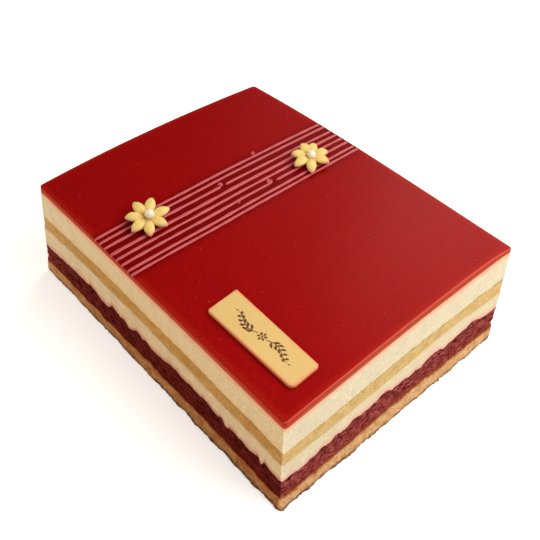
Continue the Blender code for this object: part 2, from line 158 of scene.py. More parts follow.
def jointHeight(name, sides, place):
    heights, teeth, size = joints[name]
    shown = min(sides, 4 - sides)
    step = min(int(shown * cake["jointSteps"]), len(heights) - 2)
    part = shown * cake["jointSteps"] - step
    start, end = heights[step], heights[step + 1]
    before = heights[max(step - 1, 0)]
    after = heights[min(step + 2, len(heights) - 1)]
    height = start * (1 + 2 * part) * (1 - part) ** 2 + end * part**2 * (3 - 2 * part)
    height += (end - before) / 2 * part * (1 - part) ** 2
    height += (after - start) / 2 * part**2 * (part - 1)
    if name == "fruitTop":
        for middle, rise, halfWidth in fruitLumps:
            sideLength = cake["length"] if middle < 1 else cake["depth"]
            off = (shown - middle) * sideLength / halfWidth
            height += rise * math.exp(-off * off * max(abs(off), 0.3))
    level = Vector((place.x, place.y, 0))
    height += teeth * unevenness(level, size, 21)
    tall, wide = cake["fineTeeth"]
    return height + teeth * tall * unevenness(level, size * wide, 22)


# the stations round the square-cut cake: sides passed, place and way out
def stationsRound():
    stations = []
    corner = cake["corner"]
    for side in range(4):
        turn = side * math.pi / 2
        along = Vector((math.cos(turn), math.sin(turn), 0))
        out = Vector((along.y, -along.x, 0))
        reach = (cake["length"], cake["depth"])[side % 2] / 2
        away = (cake["depth"], cake["length"])[side % 2] / 2
        steps = round(2 * reach / cake["station"])
        for step in range(steps):
            place = along * (reach - corner) * (2 * step / steps - 1) + out * away
            stations.append((side + (place.dot(along) + reach) / (2 * reach), place, out))
        centre = along * (reach - corner) + out * (away - corner)
        for step in range(cake["cornerSteps"]):
            angle = math.pi / 2 * step / cake["cornerSteps"]
            way = out * math.cos(angle) + along * math.sin(angle)
            place = centre + way * corner
            stations.append((side + (place.dot(along) + reach) / (2 * reach), place, way))
    return stations


stations = stationsRound()


# brings a piece to metres, gives it its material and says what it stands for
def finishPiece(bm, name, material, node=None, sharp=None):
    bmesh.ops.scale(bm, vec=(mm, mm, mm), verts=bm.verts)
    bmesh.ops.recalc_face_normals(bm, faces=bm.faces)
    mesh = bpy.data.meshes.new(name)
    bm.to_mesh(mesh)
    bm.free()
    mesh.shade_smooth()
    if sharp:
        mesh.set_sharp_from_angle(angle=math.radians(sharp))
    piece = bpy.data.objects.new(name, mesh)
    piece.data.materials.append(material)
    bpy.context.scene.collection.objects.link(piece)
    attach(piece, "root")
    if node:
        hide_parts(node)
    print(name, len(mesh.polygons), "faces")


# a colour given as it is seen, from 0 to 255
def seen(red, green, blue):
    def linear(value):
        value /= 255
        return value / 12.92 if value <= 0.04045 else ((value + 0.055) / 1.055) ** 2.4

    return (linear(red), linear(green), linear(blue), 1)


making = {"tree": None}  # where new nodes go


def newNode(kind):
    return making["tree"].nodes.new("ShaderNode" + kind)


def newMaterial(name, roughness, specular):
    material = bpy.data.materials.new(name)
    material.use_nodes = True
    shader = material.node_tree.nodes["Principled BSDF"]
    shader.inputs["Roughness"].default_value = roughness
    shader.inputs["Specular IOR Level"].default_value = specular
    making["tree"] = material.node_tree
    return material, shader


# links a value or sets it, three numbers being a colour as it is seen
def plug(value, socket):
    if isinstance(value, bpy.types.NodeSocket):
        socket.id_data.links.new(value, socket)
    elif isinstance(value, tuple) and len(value) == 3:
        socket.default_value = seen(*value)
    else:
        socket.default_value = value


# noise in patches of about this size, stretched and turned if asked
def noiseAt(size, detail=2.0, stretch=(1, 1, 1), turn=(0, 0, 0)):
    place = newNode("TexCoord").outputs["Object"]
    mapping = newNode("Mapping")
    mapping.inputs["Scale"].default_value = stretch
    mapping.inputs["Rotation"].default_value = [math.radians(angle) for angle in turn]
    plug(place, mapping.inputs["Vector"])
    texture = newNode("TexNoise")
    texture.inputs["Scale"].default_value = 1 / (size * mm)
    texture.inputs["Detail"].default_value = detail
    plug(mapping.outputs["Vector"], texture.inputs["Vector"])
    return texture.outputs["Fac"]


# distance from the middle of the nearest cell, cells being about this wide
def cellsAt(size):
    place = newNode("TexCoord").outputs["Object"]
    texture = newNode("TexVoronoi")
    texture.inputs["Scale"].default_value = 1 / (size * mm)
    plug(place, texture.inputs["Vector"])
    return texture.outputs["Distance"]


def carried(name):
    attribute = newNode("Attribute")
    attribute.attribute_name = name
    return attribute.outputs["Fac"]


def between(value, low, high, start=0.0, end=1.0):
    node = newNode("MapRange")
    plug(value, node.inputs["Value"])
    limits = {"From Min": low, "From Max": high, "To Min": start, "To Max": end}
    for socket, number in limits.items():
        node.inputs[socket].default_value = number
    return node.outputs["Result"]


def worked(operation, one, other=0.0):
    node = newNode("Math")
    node.operation = operation
    plug(one, node.inputs[0])
    plug(other, node.inputs[1])
    return node.outputs["Value"]


def mixed(share, one, other, blend="MIX"):
    node = newNode("Mix")
    node.data_type = "RGBA"
    node.blend_type = blend
    plug(share, node.inputs[0])
    plug(one, node.inputs[6])
    plug(other, node.inputs[7])
    return node.outputs[2]


# darker and lighter by a noise, as shares of the colour
def shaded(colour, texture, low, high):
    return mixed(1.0, colour, between(texture, 0.3, 0.7, low, high), "MULTIPLY")


# height over the joint below, depth under the joint above, and the share of painted light: the ends
# take lighter colours, the front darker ones as painted shade
def cutSides():
    return [carried(name) for name in ("rise", "drop", "endLight")]


# a noise that moves a border to both sides by this reach
def wandering(size, detail, reach):
    return between(noiseAt(size, detail), 0.3, 0.7, -reach, reach)


# another colour along a joint: from where to where it fades, and how strong it starts
def banded(colour, height, wander, band, other, where=1.0):
    low, high, strength = band
    share = between(worked("ADD", height, wander), low, high, strength, 0.0)
    return mixed(worked("MULTIPLY", share, where), colour, other)


# painted highlight: paler along the upright corners, painted over the shade that the rounded
# corners catch
def worn(colour):
    lift = between(carried("corner"), 0.0, 1.0, 1.0, cake["cornerHighlight"])
    return mixed(1.0, colour, lift, "MULTIPLY")


# the finished colour, and a relief too fine for the mesh
def dressed(shader, colour, height, depth, strength):
    plug(colour, shader.inputs["Base Color"])
    node = newNode("Bump")
    node.inputs["Strength"].default_value = strength
    node.inputs["Distance"].default_value = depth * mm
    plug(height, node.inputs["Height"])
    plug(node.outputs["Normal"], shader.inputs["Normal"])


def softInside(shader, weight, radius, scale):
    shader.inputs["Subsurface Weight"].default_value = weight
    shader.inputs["Subsurface Radius"].default_value = radius
    shader.inputs["Subsurface Scale"].default_value = scale * mm


# The cut layers


# painted light and shade: full on the ends, which take the lighter colours, none on the front and
# back, which take the darker ones as shade, and rising towards the front's left end
def endLightShare(place, out):
    start, reach = cake["endLight"]
    near = max(0.0, -out.y) * start * math.exp(-(place.x + cake["length"] / 2) / reach)
    return max(abs(out.x), near)


# A grid bent round the cake. Its first and last rows run inwards and level, and are filled.
# Each point carries its height over the joint below and under the joint above.
def bentRound(rows, floorAt, roofAt, standOut, liftAt=None):
    bm = bmesh.new()
    names = ("rise", "drop", "endLight", "corner")
    rise, drop, endLight, corner = (bm.verts.layers.float.new(name) for name in names)
    columns = len(stations)
    bmesh.ops.create_grid(bm, x_segments=columns, y_segments=rows + 2, size=0.5)
    edges = [(floorAt(*station), roofAt(*station)) for station in stations]
    levelFloor = sum(low for low, _ in edges) / columns
    levelRoof = sum(high for _, high in edges) / columns
    inwards = Vector((1 - 2 * cake["levelInset"] / cake["length"],
                      1 - 2 * cake["levelInset"] / cake["depth"], 0))
    for vert in bm.verts:
        column = round((vert.co.x + 0.5) * columns) % columns
        row = round((vert.co.y + 0.5) * (rows + 2)) - 1
        _, place, out = stations[column]
        low, high = edges[column]
        share = row / rows
        if row in (-1, rows + 1):
            spot = Vector((place.x * inwards.x, place.y * inwards.y, 0))
            spot.z = levelFloor if row < 0 else levelRoof
        else:
            spot = Vector((place.x, place.y, low + (high - low) * share))
            spot += out * standOut(spot, out, share)
            if liftAt:
                spot.z += liftAt(spot, share)
        vert[rise] = max(spot.z - low, 0)
        vert[drop] = max(high - spot.z, 0)
        # painted light on the ends and painted shade on the front
        vert[endLight] = endLightShare(place, out)
        vert[corner] = abs(2 * out.x * out.y)
        vert.co = settled(spot)
    bmesh.ops.remove_doubles(bm, verts=bm.verts, dist=0.001)
    rims = [edge for edge in bm.edges if edge.is_boundary]
    bmesh.ops.holes_fill(bm, edges=rims, sides=0)
    return bm


def ground(sides, place, out):
    return 0.0


# where a layer ends, half a seam over or under a joint
def joint(name, offset):
    return lambda sides, place, out: jointHeight(name, sides, place) + offset * cake["seam"] / 2


base = {
    "rows": 22,
    "relief": (0.5, 5.0),
    "crumb": (0.22, 1.3),  # depth and width of its grains
    "pores": (0.4, 1.9, 0.42),  # depth of its holes, width of their cells, their share of it
    "worn": (0.25, 0.12),  # how far its lower edge is worn back, and up to which share
    "ragged": (0.35, 1.2, 0.1),  # height and width of its foot's teeth, and up to which share
    "flare": 1.3,  # how much of its spread lies low down
    "tall": 7.5,  # about
    "spreadX": (-0.5, 1.3, 0.2, 0.0),  # outwards at its foot, round the corners
    "spreadY": (0.0, 1.0, -0.4, 0.0),
}


def baseStandOut(spot, out, share):
    depth, size = base["relief"]
    away = depth * unevenness(spot, size, 1)
    away += grained(spot, *base["crumb"], 31) - pitted(spot, *base["pores"])
    u, v = 2 * spot.x / cake["length"], 2 * spot.y / cake["depth"]
    spread = out.x * out.x * acrossCorners(base["spreadX"], u, v)
    spread += out.y * out.y * acrossCorners(base["spreadY"], u, v)
    back, edge = base["worn"]
    return away + spread * (1 - share) ** base["flare"] - back * max(0.0, edge - share) / edge


def baseFootLift(spot, share):
    tooth, width, edge = base["ragged"]
    return tooth * max(0.0, unevenness(spot, width, 33)) * max(0.0, 1 - share / edge)


def baseMaterial():
    material, shader = newMaterial("toasted bottom biscuit", 0.85, 0.03)
    rise, drop, endLight = cutSides()
    patches = between(noiseAt(3.2, 3), 0.3, 0.7)
    # painted light and shade: a darker pair of crumb colours for the front and a lighter pair for
    # the ends
    shadedCrumb = mixed(patches, (153, 98, 53), (186, 133, 81))
    litCrumb = mixed(patches, (196, 144, 94), (218, 176, 124))
    colour = mixed(endLight, shadedCrumb, litCrumb)
    colour = shaded(colour, noiseAt(0.8, 3), 0.82, 1.2)
    # painted shade: darker in the pores
    pores = between(cellsAt(1.1), 0.1, 0.3, 0.6, 0.0)
    colour = mixed(pores, colour, (128, 74, 38))
    wander = wandering(1.7, 3, 0.5)
    colour = banded(colour, drop, wander, (0.0, 1.6, 0.9), (162, 80, 40))
    # the toasted foot, painted darker on the front as shade
    foot = mixed(endLight, (50, 32, 20), (104, 68, 42))
    colour = banded(colour, rise, wander, (0.7, 2.2, 0.95), foot)
    height = worked("SUBTRACT", noiseAt(0.7, 4), pores)
    dressed(shader, worn(colour), height, 0.35, 0.8)
    softInside(shader, 0.08, (1.0, 0.6, 0.3), 0.8)
    return material


fruit = {
    "rows": 34,
    "relief": (0.7, 6.0),
    "setBack": 0.25,
    "chunks": (0.55, 4.6),  # height and width of the fruit pieces
    "creases": (0.4, 0.12),  # depth and width of the gaps between them
    "fibres": (0.18, 1.5),
    "slant": (0.8, 2.2),  # how the fibres slant and how flat they lie
    "pulp": (0.1, 0.7),
    "tucked": (0.3, 0.93),  # inwards under the cream, and from which share up
}


def fruitStandOut(spot, out, share):
    depth, size = fruit["relief"]
    away = depth * unevenness(spot, size, 2) - fruit["setBack"]
    tall, wide = fruit["chunks"]
    near, following = noise.voronoi(spot / wide + Vector((3.1, 0.7, 5.2)))[0][:2]
    crease, narrow = fruit["creases"]
    away += tall * (0.5 - near) - crease * math.exp(-(((following - near) / narrow) ** 2))
    away *= min(1.0, 0.35 + share * 4)  # calmer where it rests on the biscuit
    fibre, width = fruit["fibres"]
    slant, flat = fruit["slant"]
    slanted = Vector((spot.x + spot.z * slant, spot.y + spot.z * slant, spot.z * flat))
    pulp, fine = fruit["pulp"]
    away += fibre * unevenness(slanted, width, 34) + pulp * unevenness(spot, fine, 35)
    tuck, start = fruit["tucked"]
    return away - tuck * max(0.0, share - start) / (1 - start)


def fruitMaterial():
    material, shader = newMaterial("crushed red fruit", 0.42, 0.01)
    rise, drop, endLight = cutSides()
    patches = between(noiseAt(3.0, 3), 0.32, 0.68)
    # painted light and shade: the fruit, its pale fibres and its juice are darker on the front and
    # lighter on the ends
    shadedFruit = mixed(patches, (66, 14, 11), (108, 30, 23))
    litFruit = mixed(patches, (92, 20, 22), (148, 58, 52))
    colour = mixed(endLight, shadedFruit, litFruit)
    streak = noiseAt(1.1, 3, (0.35, 0.35, 1.5), (30, 30, 0))
    fibres = between(streak, 0.5, 0.62, 0.0, 0.8)
    paleFibre = mixed(endLight, (116, 36, 28), (186, 96, 88))
    colour = mixed(fibres, colour, paleFibre)
    shades = between(noiseAt(1.4, 2), 0.52, 0.68, 0.0, 0.7)
    colour = mixed(shades, colour, (58, 8, 9))
    wander = wandering(1.8, 2, 0.8)
    juicy = mixed(endLight, (96, 28, 10), (140, 62, 40))
    colour = banded(colour, rise, wander, (0.3, 2.4, 0.8), juicy)
    colour = banded(colour, drop, wander, (-0.1, 0.5, 0.4), (150, 76, 60))
    dressed(shader, worn(colour), noiseAt(0.6, 4), 0.3, 0.7)
    softInside(shader, 0.12, (1.0, 0.2, 0.15), 0.6)
    return material


creams = {
    "lowerRows": 20,
    "upperRows": 28,
    "setBack": 0.05,
    "relief": (0.15, 14.0),
    "knife": (0.06, 3.2),  # what the knife left
    "air": (0.16, 2.4, 0.2),  # depth of its air holes, width of their cells, their share of it
    "below": ((216, 189, 146), (218, 200, 163)),  # colour on the front, painted darker as shade, and on the ends, painted lighter
    "above": ((225, 199, 153), (220, 204, 170)),
}


def creamStandOut(seed):
    def standOut(spot, out, share):
        depth, size = creams["relief"]
        away = depth * unevenness(spot, size, seed) - creams["setBack"]
        mark, width = creams["knife"]
        away += mark * unevenness(Vector((spot.x, spot.y, spot.z * 0.5)), width, 36)
        away += mark * 0.5 * unevenness(spot, width * 0.4, 37)
        return away - pitted(spot, *creams["air"], (seed, 1.7, 0.3))

    return standOut


def creamMaterial(name, below):
    material, shader = newMaterial(name, 0.55, 0.08)
    rise, drop, endLight = cutSides()
    # painted light and shade: the front takes the darker colour, the ends the paler one
    frontShade = worked("SUBTRACT", 1.0, endLight)
    yellow, pale = creams["below" if below else "above"]
    colour = mixed(endLight, yellow, pale)
    # painted highlight: paler where the front turns into the ends, on the upright corners and
    # towards the front's left end
    colour = mixed(worked("MULTIPLY", endLight, frontShade), colour, (240, 222, 190))
    colour = shaded(colour, noiseAt(6.0, 3), 0.95, 1.05)
    colour = shaded(colour, noiseAt(0.8, 3), 0.88, 1.12)
    # painted shade: darker in the air holes
    holes = between(cellsAt(1.7), 0.05, 0.13, 0.3, 0.0)
    colour = mixed(holes, colour, (190, 158, 110))
    wander = wandering(2.2, 3, 0.7)
    if below:  # juice that rises from the fruit
        juice = mixed(endLight, (188, 114, 96), (228, 168, 148))
        colour = banded(colour, rise, wander, (0.2, 3.0, 0.85), juice)
        crumb = mixed(endLight, (202, 160, 100), (216, 186, 130))
        colour = banded(colour, drop, wander, (-0.2, 1.3, 0.6), crumb)
    else:  # colour that the glaze lends, and a yellower foot on the front only
        colour = banded(colour, drop, wander, (0.0, 3.0, 0.95), (241, 157, 120))
        # yellower towards its foot, on the front only
        colour = banded(colour, rise, wander, (0.0, 3.5, 0.5), (224, 174, 100), frontShade)
    height = worked("SUBTRACT", noiseAt(0.9, 3), holes)
    dressed(shader, worn(colour), height, 0.12, 0.6)
    softInside(shader, 0.3, (1.0, 0.75, 0.45), 1.6)
    return material


middle = {
    "rows": 20,
    "relief": (0.25, 6.0),
    "setBack": 0.1,
    "crumb": (0.12, 1.4),
    "pores": (0.32, 1.5, 0.38),
}


def middleStandOut(spot, out, share):
    depth, size = middle["relief"]
    away = depth * unevenness(spot, size, 4) - middle["setBack"]
    away += grained(spot, *middle["crumb"], 38)
    return away - pitted(spot, *middle["pores"], (0.4, 2.2, 8.1))


def middleMaterial():
    material, shader = newMaterial("golden biscuit crumb", 0.8, 0.03)
    rise, drop, endLight = cutSides()
    patches = between(noiseAt(3.2, 3), 0.3, 0.7)
    # painted light and shade: a darker pair of crumb colours for the front and a lighter pair for
    # the ends
    shadedCrumb = mixed(patches, (180, 130, 66), (196, 148, 82))
    litCrumb = mixed(patches, (196, 158, 96), (212, 178, 118))
    colour = mixed(endLight, shadedCrumb, litCrumb)
    colour = shaded(colour, noiseAt(0.9, 3), 0.84, 1.18)
    # painted shade: darker in the pores
    pores = between(cellsAt(1.2), 0.08, 0.26, 0.5, 0.0)
    colour = mixed(pores, colour, (150, 100, 48))
    wander = wandering(1.5, 3, 0.35)
    colour = banded(colour, drop, wander, (-0.1, 0.5, 0.65), (144, 94, 46))
    colour = banded(colour, rise, wander, (-0.3, 1.3, 0.7), (208, 174, 122))
    height = worked("SUBTRACT", noiseAt(0.7, 4), pores)
    dressed(shader, worn(colour), height, 0.3, 0.8)
    softInside(shader, 0.12, (1.0, 0.7, 0.35), 1.0)
    return material


def makeLayers():
    bm = bentRound(base["rows"], ground, joint("baseTop", -1), baseStandOut, baseFootLift)
    finishPiece(bm, "base_biscuit_crumb", baseMaterial(), "base_biscuit", 60)
    bm = bentRound(fruit["rows"], joint("baseTop", 1), joint("fruitTop", -1), fruitStandOut)
    finishPiece(bm, "fruit_filling", fruitMaterial(), "fruit_layer", 60)
    low, high = joint("fruitTop", 1), joint("lowerCreamTop", -1)
    bm = bentRound(creams["lowerRows"], low, high, creamStandOut(3))
    cream = creamMaterial("cream over the fruit", True)
    finishPiece(bm, "lower_cream_band", cream, "lower_cream", 60)
    low, high = joint("lowerCreamTop", 1), joint("middleBiscuitTop", -1)
    bm = bentRound(middle["rows"], low, high, middleStandOut)
    crumb = middleMaterial()
    finishPiece(bm, "middle_biscuit_crumb", crumb, "middle_biscuit", 60)
    low, high = joint("middleBiscuitTop", 1), joint("upperCreamTop", -1)
    bm = bentRound(creams["upperRows"], low, high, creamStandOut(5))
    cream = creamMaterial("cream under the glaze", False)
    finishPiece(bm, "upper_cream_band", cream, "upper_cream", 60)


makeLayers()


crumbs = {
    "count": 420,
    "radius": (0.25, 0.75),
    "seed": 7,
    "sunk": 0.35,  # share of the radius inside the biscuit
    "height": 0.9,  # up to which they hold on
}


def crumbMaterial():
    material, shader = newMaterial("browned crumbs", 0.9, 0.15)
    colour = mixed(noiseAt(1.6, 2), (112, 66, 36), (196, 134, 80))
    colour = mixed(between(noiseAt(0.5, 2), 0.5, 0.7), colour, (84, 50, 30))
    dressed(shader, colour, noiseAt(0.4, 3), 0.2, 0.8)
    return material


# crumbs that cling along the foot
def makeCrumbs():
    draw = random.Random(crumbs["seed"])
    bm = bmesh.new()
    for _ in range(crumbs["count"]):
        sides, place, out = stations[draw.randrange(len(stations))]
        radius = draw.uniform(*crumbs["radius"]) * draw.uniform(0.6, 1.0)
        height = radius * 0.8 + draw.random() ** 3 * crumbs["height"]
        spot = Vector((place.x, place.y, height))
        spot += out * (baseStandOut(spot, out, height / base["tall"]) - radius * crumbs["sunk"])
        made = bmesh.ops.create_icosphere(bm, subdivisions=1, radius=radius)["verts"]
        squeeze = Vector([draw.uniform(0.6, 1.2) for _ in range(3)])
        for vert in made:
            bump = 1 + 0.35 * unevenness(vert.co + spot, radius * 1.3, 41)
            vert.co = settled(spot) + Vector([a * b * bump for a, b in zip(vert.co, squeeze)])
            vert.co.z = max(vert.co.z, 0.02)
    finishPiece(bm, "clinging_crumbs", crumbMaterial())


makeCrumbs()


# The glaze

glaze = {
    "cell": 0.8,  # spacing of its top's mesh
    "rim": 0.5,  # radius of its poured edge
    "calm": 4.0,  # how far from the rim its top is calmer
    "richReach": 18.0,  # painted light: from the near corner, over which its side is painted a brighter, richer red
    "rimSteps": 6,
    "corner": 1.2,
    "sideSteps": 4,
    "wave": (0.035, 9.0),  # how uneven its top is
    "ripple": (0.012, 2.2),
}


def wayOut(place, reachX, reachY):
    out = Vector((0, 0, 0))
    if abs(abs(place.x) - reachX) < 0.001:
        out.x = math.copysign(1, place.x)
    if abs(abs(place.y) - reachY) < 0.001:
        out.y = math.copysign(1, place.y)
    return out


# draws the points near an upright corner in to its arc
def rounded(spot):
    arc = glaze["corner"]
    overX = abs(spot.x) - cake["length"] / 2 + arc
    overY = abs(spot.y) - cake["depth"] / 2 + arc
    over = Vector((overX, overY, 0))
    if min(over.xy) <= 0:
        return spot
    over *= 1 - max(over.xy) / over.length
    return spot - Vector((math.copysign(over.x, spot.x), math.copysign(over.y, spot.y), 0))


drizzle = {
    "lines": (  # X at the front edge and at the back edge, then width
        (-33.1, -32.0, 1.3),
        (-30.0, -29.1, 1.25),
        (-26.5, -24.7, 1.35),
        (-22.0, -21.3, 1.6),
        (-18.4, -17.8, 1.3),
        (-14.8, -14.2, 1.3),
        (-10.8, -10.3, 1.3),
        (-8.2, -7.7, 1.2),
    ),
    "broken": {2: 0.5, 5: 0.645},  # line, and how far along it the drizzle broke off
    "gap": 2.2,
    "height": 0.4,
    "sunk": 0.3,
    "wobble": (0.2, 25.0),
    "beading": (0.14, 4.0),  # how its width swells and thins, and over what length
    "runDown": 0.5,  # below the rim
    "shade": 4.0,  # how far from the lines the glaze looks darker
    "around": 14,
    "step": 0.8,
}


# how far a place lies in the band of lines, where the glaze is painted darker as painted shade
def amongLines(spot):
    share = spot.y / cake["depth"] + 0.5
    outermost = (drizzle["lines"][0], drizzle["lines"][-1])
    left, right = (front + (back - front) * share for front, back, _ in outermost)
    outside = max(left - spot.x, spot.x - right, 0)
    return max(0.0, 1 - outside / drizzle["shade"])


def makeGlaze():
    bm = bmesh.new()
    names = ("drop", "endLight", "field", "rich")
    drop, endLight, field, rich = (bm.verts.layers.float.new(name) for name in names)
    rim, top = glaze["rim"], cake["height"]
    reachX, reachY = cake["length"] / 2 - rim, cake["depth"] / 2 - rim
    columns, rows = round(2 * reachX / glaze["cell"]), round(2 * reachY / glaze["cell"])
    bmesh.ops.create_grid(bm, x_segments=columns, y_segments=rows, size=1)
    for vert in bm.verts:
        vert.co = Vector((vert.co.x * reachX, vert.co.y * reachY, top))
        edge = min(reachX - abs(vert.co.x), reachY - abs(vert.co.y))
        vert[drop] = -edge
        for depth, size in (glaze["wave"], glaze["ripple"]):
            vert.co.z += depth * unevenness(vert.co, size, 42) * min(edge / glaze["calm"], 1)

    # the rim rolls over and the side runs down to the cream, row by row
    def nextRow(moveTo):
        rims = [edge for edge in bm.edges if edge.is_boundary]
        grown = bmesh.ops.extrude_edge_only(bm, edges=rims)["geom"]
        for vert in (item for item in grown if isinstance(item, bmesh.types.BMVert)):
            moveTo(vert)

    for step in range(1, glaze["rimSteps"] + 1):
        angle = math.pi / 2 * step / glaze["rimSteps"]
        before = math.pi / 2 * (step - 1) / glaze["rimSteps"]
        grow = rim * (math.sin(angle) - math.sin(before))
        nowX, nowY = (reach + rim * math.sin(before) for reach in (reachX, reachY))
        height = top - rim * (1 - math.cos(angle))

        def roll(vert):
            out = wayOut(vert.co, nowX, nowY)
            vert.co += out * grow
            vert.co.z = height
            vert[drop] = top - height
            # the ends, where the rim's painted highlight goes
            vert[endLight] = abs(out.x)

        nextRow(roll)
    outX, outY = cake["length"] / 2, cake["depth"] / 2
    for step in range(1, glaze["sideSteps"] + 1):
        share = step / glaze["sideSteps"]

        def run(vert):
            out = wayOut(vert.co, outX, outY)
            sides = sidesPassed(vert.co, out)
            foot = jointHeight("upperCreamTop", sides, vert.co) + cake["seam"] / 2
            vert.co.z = top - rim + (foot - top + rim) * share
            vert[drop] = top - vert.co.z

        nextRow(run)

    def level(vert):
        vert.co.x *= 1 - 2 * cake["levelInset"] / cake["length"]
        vert.co.y *= 1 - 2 * cake["levelInset"] / cake["depth"]
        vert[drop] = 3.0

    nextRow(level)
    bmesh.ops.holes_fill(bm, edges=[edge for edge in bm.edges if edge.is_boundary], sides=0)
    for vert in bm.verts:
        vert[field] = amongLines(vert.co)
        away = math.dist(vert.co.xy, (outX, -outY))
        vert[rich] = math.exp(-away / glaze["richReach"])
        vert.co = settled(rounded(vert.co))
    finishPiece(bm, "glaze_sheet", glazeMaterial(), "glaze", 70)


def glazeMaterial():
    material, shader = newMaterial("red fruit glaze", 0.24, 0.04)
    drop = carried("drop")
    colour = mixed(noiseAt(12.0, 3), (148, 9, 9), (158, 12, 12))
    colour = shaded(colour, noiseAt(0.9, 3), 0.85, 1.12)
    near = between(drop, -2.5, 0.0)
    colour = mixed(near, colour, (166, 25, 15))
    # painted shade: darker among the drizzled lines
    colour = mixed(carried("field"), colour, (123, 6, 6))
    endLight = carried("endLight")
    # painted highlight: a bright orange-red line where the rim rolls over, on the ends only
    lit = worked("MULTIPLY", between(drop, -0.1, 0.1, 0.0, 0.85), endLight)
    colour = mixed(lit, colour, (206, 88, 72))
    # painted light: the side and its foot take their own colours on the front and on the ends
    side = between(drop, 0.2, 0.8)
    colour = mixed(side, colour, mixed(endLight, (186, 65, 42), (170, 61, 39)))
    wander = wandering(2.0, 2, 0.3)
    foot = between(worked("ADD", drop, wander), 1.0, 2.6)
    colour = mixed(foot, colour, mixed(endLight, (184, 86, 58), (174, 88, 60)))
    # painted light: a richer red on the side towards the near corner
    rich = worked("MULTIPLY", between(foot, 0.0, 1.0, 0.8, 0.35), side)
    rich = worked("MULTIPLY", rich, carried("rich"))
    colour = mixed(rich, colour, (194, 42, 20))
    dressed(shader, colour, noiseAt(0.8, 2), 0.04, 0.5)
    softInside(shader, 0.12, (1.0, 0.15, 0.1), 1.0)
    return material


makeGlaze()


# Rolls a grid into a closed tube: placeAt gives the point at each share of a turn and of the
# length, and how much of its piece's second colour it shows.
def rolled(bm, around, along, placeAt):
    tone = bm.verts.layers.float["tone"]
    made = bmesh.ops.create_grid(bm, x_segments=around, y_segments=along, size=0.5)["verts"]
    for vert in made:
        turn, share = vert.co.x + 0.5, vert.co.y + 0.5
        vert.co, vert[tone] = placeAt(math.tau * turn, share)
    bmesh.ops.remove_doubles(bm, verts=made, dist=0.0005)
    kept = [vert for vert in made if vert.is_valid]
    rims = {edge for vert in kept for edge in vert.link_edges if edge.is_boundary}
    if rims:
        bmesh.ops.holes_fill(bm, edges=list(rims), sides=0)


# a line's way over the cake: Y, Z and the surface's way out at a distance from its front end
def overTheCake(distance):
    rim, down = glaze["rim"], drizzle["runDown"]
    half, top = cake["depth"] / 2, cake["height"]
    quarter, flat = rim * math.pi / 2, 2 * (half - rim)
    total = 2 * (down + quarter) + flat
    back = distance > total / 2
    if back:
        distance = total - distance
    if distance < down:
        y, z, out, up = -half, top - rim - down + distance, -1.0, 0.0
    elif distance < down + quarter:
        angle = (distance - down) / rim
        out, up = -math.cos(angle), math.sin(angle)
        y, z = -half + rim + rim * out, top - rim + rim * up
    else:
        y, z, out, up = -half + rim + distance - down - quarter, top, 0.0, 1.0
    return (-y, z, -out, up) if back else (y, z, out, up)


def drizzleLength():
    return 2 * (drizzle["runDown"] + glaze["rim"] * (math.pi / 2 - 1)) + cake["depth"]


def drizzleMaterial():
    material, shader = newMaterial("pink drizzle", 0.3, 0.35)
    colour = mixed(noiseAt(3.0, 3), (203, 88, 92), (212, 102, 103))
    thin = carried("tone")
    colour = mixed(thin, colour, (176, 40, 44))
    dressed(shader, colour, noiseAt(0.9, 2), 0.06, 0.5)
    softInside(shader, 0.15, (1.0, 0.3, 0.25), 0.8)
    return material


def makeDrizzle():
    bm = bmesh.new()
    bm.verts.layers.float.new("tone")
    total = drizzleLength()
    beading, beadSize = drizzle["beading"]
    wobble, wobbleSize = drizzle["wobble"]

    def line(number, start, end):
        front, back, width = drizzle["lines"][number]

        def placeAt(turn, share):
            distance = total * (start + (end - start) * share)
            y, z, out, up = overTheCake(distance)
            x = front + (back - front) * (y / cake["depth"] + 0.5)
            x += wobble * unevenness(Vector((number, y, 0)), wobbleSize, 2)
            x += wobble * 0.25 * unevenness(Vector((number, y, 3)), 4, 3)
            swell = 1 + beading * 2 * unevenness(Vector((number * 3, distance, 0)), beadSize, 4)
            nearEnd = min(share, 1 - share) * total * (end - start)
            swell *= math.sqrt(min(1.0, nearEnd / (width * 0.7) + 0.02))
            across = width / 2 * swell * math.cos(turn)
            lift = math.sin(turn) * (drizzle["height"] if turn < math.pi else drizzle["sunk"])
            lift *= min(swell, 1.15) * min(1.0, 0.3 + min(distance, total - distance) / 8)
            place = settled(Vector((x + across, y + out * lift, z + up * lift)))
            return place, max(0.0, 1 - abs(math.sin(turn)) * 2.2)

        rolled(bm, drizzle["around"], round(total * (end - start) / drizzle["step"]), placeAt)

    for number in range(len(drizzle["lines"])):
        if number in drizzle["broken"]:
            half = drizzle["gap"] / 2 / cake["depth"]
            line(number, 0, drizzle["broken"][number] - half)
            line(number, drizzle["broken"][number] + half, 1)
        else:
            line(number, 0, 1)
    finishPiece(bm, "drizzled_lines", drizzleMaterial(), "glaze")


makeDrizzle()


drops = {
    "places": (  # X, Y, radius, and how deep its middle has sunk
        (-34.2, 23.2, 1.0, 0.0),
        (-15.5, 15.9, 1.25, 0.6),
        (-26.8, -0.6, 1.15, 0.0),
        (-13.7, -2.0, 0.7, 0.0),
    ),
    "height": 0.6,  # as a share of the radius
}


